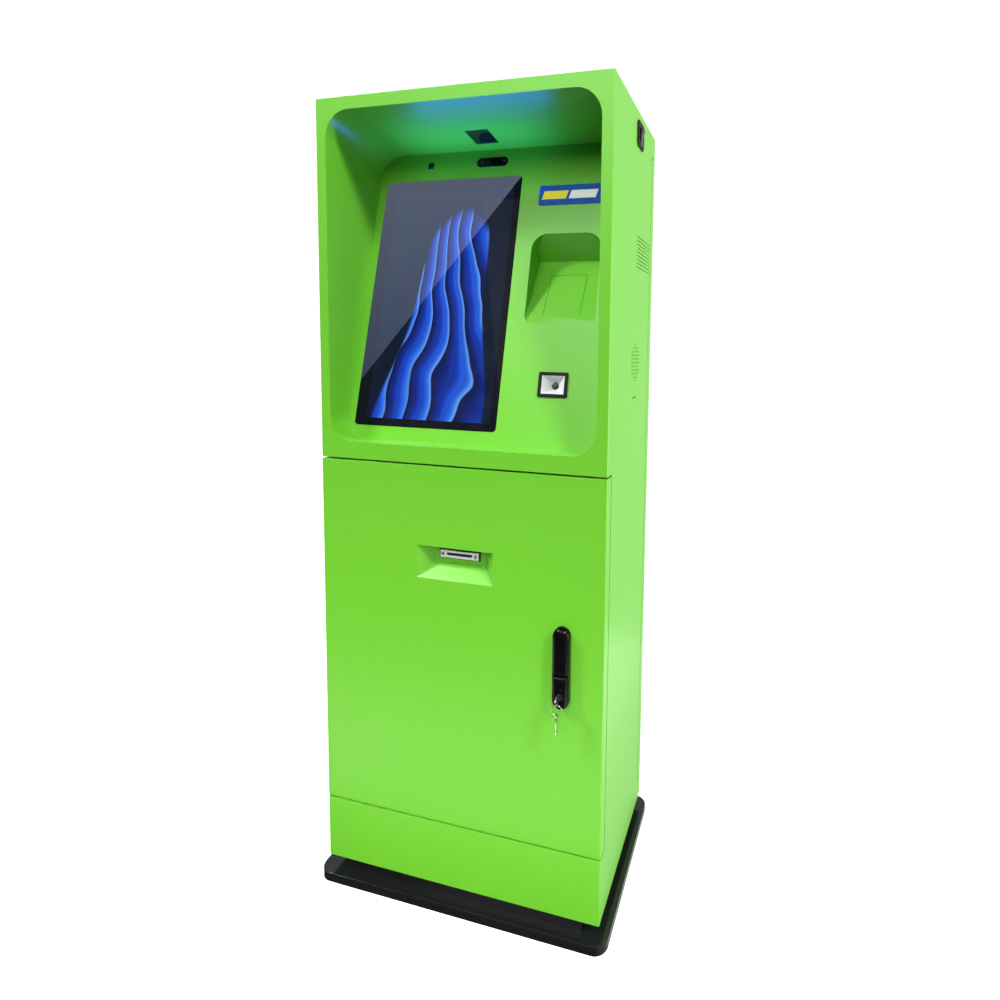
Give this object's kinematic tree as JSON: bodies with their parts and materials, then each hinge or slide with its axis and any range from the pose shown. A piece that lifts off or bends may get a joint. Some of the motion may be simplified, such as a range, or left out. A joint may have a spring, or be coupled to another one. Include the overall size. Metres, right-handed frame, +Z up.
{
  "type": "self-service payment kiosk",
  "caption": "Tall free-standing self-service kiosk with a hooded portrait touch screen, reader alcove, code scanner, card slot and lockable door on a flat base plate.",
  "frame": {"origin": "middle of the overall box, on the floor", "axes": "+Z up, +Y from the front towards the back, +X to the right seen from the front"},
  "size_m": [0.648, 0.44, 1.648],
  "materials": {
    "green_paint": "smooth satin powder coat, yellow-green",
    "base_paint": "near-black satin powder coat",
    "steel": "bare zinc-plated steel",
    "chrome": "polished",
    "brass_nickel": "nickel-plated key blank",
    "aluminium": "brushed",
    "black_gloss": "gloss moulded",
    "black_matte": "fine texture",
    "grey_plastic": "fine texture",
    "white_plastic": "card stock",
    "touch_glass": "polished black-bordered glass",
    "window": "polished dark window",
    "display": "lit panel",
    "badge_blue": "gloss enamel",
    "rubber": "matte"
  },
  "bodies": {
    "cabinet": {"base_plate": "base_paint", "base_riser": "base_paint", "floor_pan": "green_paint", "plinth_front": "green_paint", "side_panel_left": "green_paint", "side_panel_right": "green_paint", "top_panel": "green_paint", "hood_frame": "green_paint", "hood_liner": "green_paint", "fascia_panel": "green_paint", "alcove_liner": "green_paint", "mid_shelf": "green_paint", "door_sill": "green_paint", "front_posts": "green_paint", "rear_posts": "green_paint", "rear_strips": "green_paint", "touch_glass": "touch_glass", "display_panel": "display", "monitor_housing": "black_matte", "camera_module": "black_matte", "sensor_bar": "black_gloss", "ceiling_window": "window", "overhead_camera": "black_matte", "badge_plate": "badge_blue", "reader_module": "green_paint", "scanner_bezel": "black_matte", "scanner_reflector": "chrome", "scanner_body": "black_matte", "speakers": "black_matte", "power_inlet": "black_matte", "mini_pc": "grey_plastic", "power_supply": "aluminium", "fan_housing": "black_matte", "hinge_pins": "steel", "strike_plates": "steel"},
    "power_rocker": {"rocker_switch": "grey_plastic"},
    "fan": {"fan_rotor": "black_matte"},
    "front_door": {"door_panel": "green_paint", "slot_pocket": "green_paint", "slot_gasket": "rubber", "slot_bezel": "aluminium", "bezel_screws": "steel", "dispenser_frame": "steel", "card_magazine": "aluminium", "card_stack": "white_plastic", "feed_motor": "black_matte", "drive_belt": "rubber", "lock_housing": "black_gloss"},
    "pusher": {"card_pusher": "steel"},
    "feed_roll": {"feed_roller": "rubber"},
    "exit_roll": {"exit_roller": "rubber"},
    "spindle": {"lock_spindle": "steel"},
    "lever": {"lock_lever": "black_gloss"},
    "plug": {"lock_plug": "chrome"},
    "key": {"door_key": "brass_nickel"},
    "ring": {"key_ring": "chrome"},
    "hanging_key": {"spare_key": "brass_nickel"},
    "back_door": {"rear_door": "green_paint", "rear_lock": "chrome"},
    "back_cam": {"rear_lock_cam": "steel"}
  },
  "joints": [
    {"name": "front_door_hinge", "type": "hinge", "parent": "cabinet", "child": "front_door", "pos_m": [-0.301, -0.157, 0.556], "axis": [0, 0, -1], "range_deg": [0, 105]},
    {"name": "rear_door_hinge", "type": "hinge", "parent": "cabinet", "child": "back_door", "pos_m": [0.301, 0.177, 0.848], "axis": [0, 0, -1], "range_deg": [0, 105]},
    {"name": "handle_turn", "type": "hinge", "parent": "front_door", "child": "spindle", "pos_m": [0.225, -0.179, 0.62325], "axis": [0, 1, 0], "range_deg": [0, 90]},
    {"name": "handle_lift", "type": "hinge", "parent": "spindle", "child": "lever", "pos_m": [0.225, -0.1895, 0.63005], "axis": [-1, 0, 0], "range_deg": [0, 30]},
    {"name": "key_turn", "type": "hinge", "parent": "front_door", "child": "plug", "pos_m": [0.225, -0.179, 0.508], "axis": [0, 1, 0], "range_deg": [0, 90]},
    {"name": "key_pull", "type": "slide", "parent": "plug", "child": "key", "axis": [0, -1, 0], "range_m": [0, 0.03]},
    {"name": "ring_swing", "type": "hinge", "parent": "key", "child": "ring", "pos_m": [0.225, -0.209, 0.5006], "axis": [1, 0, 0], "range_deg": [-40, 12]},
    {"name": "spare_key_swing", "type": "hinge", "parent": "ring", "child": "hanging_key", "pos_m": [0.225, -0.209, 0.4794], "axis": [1, 0, 0], "range_deg": [-25, 10]},
    {"name": "rear_cam_turn", "type": "hinge", "parent": "back_door", "child": "back_cam", "pos_m": [-0.255, 0.181, 0.848], "axis": [0, 1, 0], "range_deg": [0, 90]},
    {"name": "pusher_slide", "type": "slide", "parent": "front_door", "child": "pusher", "axis": [0, 0, 1], "range_m": [0, 0.06]},
    {"name": "feed_roller_spin", "type": "hinge", "parent": "front_door", "child": "feed_roll", "pos_m": [-0.0035, -0.029, 0.7353], "axis": [1, 0, 0], "continuous": true},
    {"name": "exit_roller_spin", "type": "hinge", "parent": "front_door", "child": "exit_roll", "pos_m": [-0.0035, -0.104, 0.7353], "axis": [1, 0, 0], "continuous": true},
    {"name": "rocker_tip", "type": "hinge", "parent": "cabinet", "child": "power_rocker", "pos_m": [0.305, 0.047, 1.602], "axis": [0, 1, 0], "range_deg": [-14, 0]},
    {"name": "fan_spin", "type": "hinge", "parent": "cabinet", "child": "fan", "pos_m": [0.29, 0.086, 1.378], "axis": [1, 0, 0], "continuous": true}
  ],
  "couplings": [
    {"joint": "exit_roller_spin", "follows": "feed_roller_spin", "ratio": 1}
  ]
}
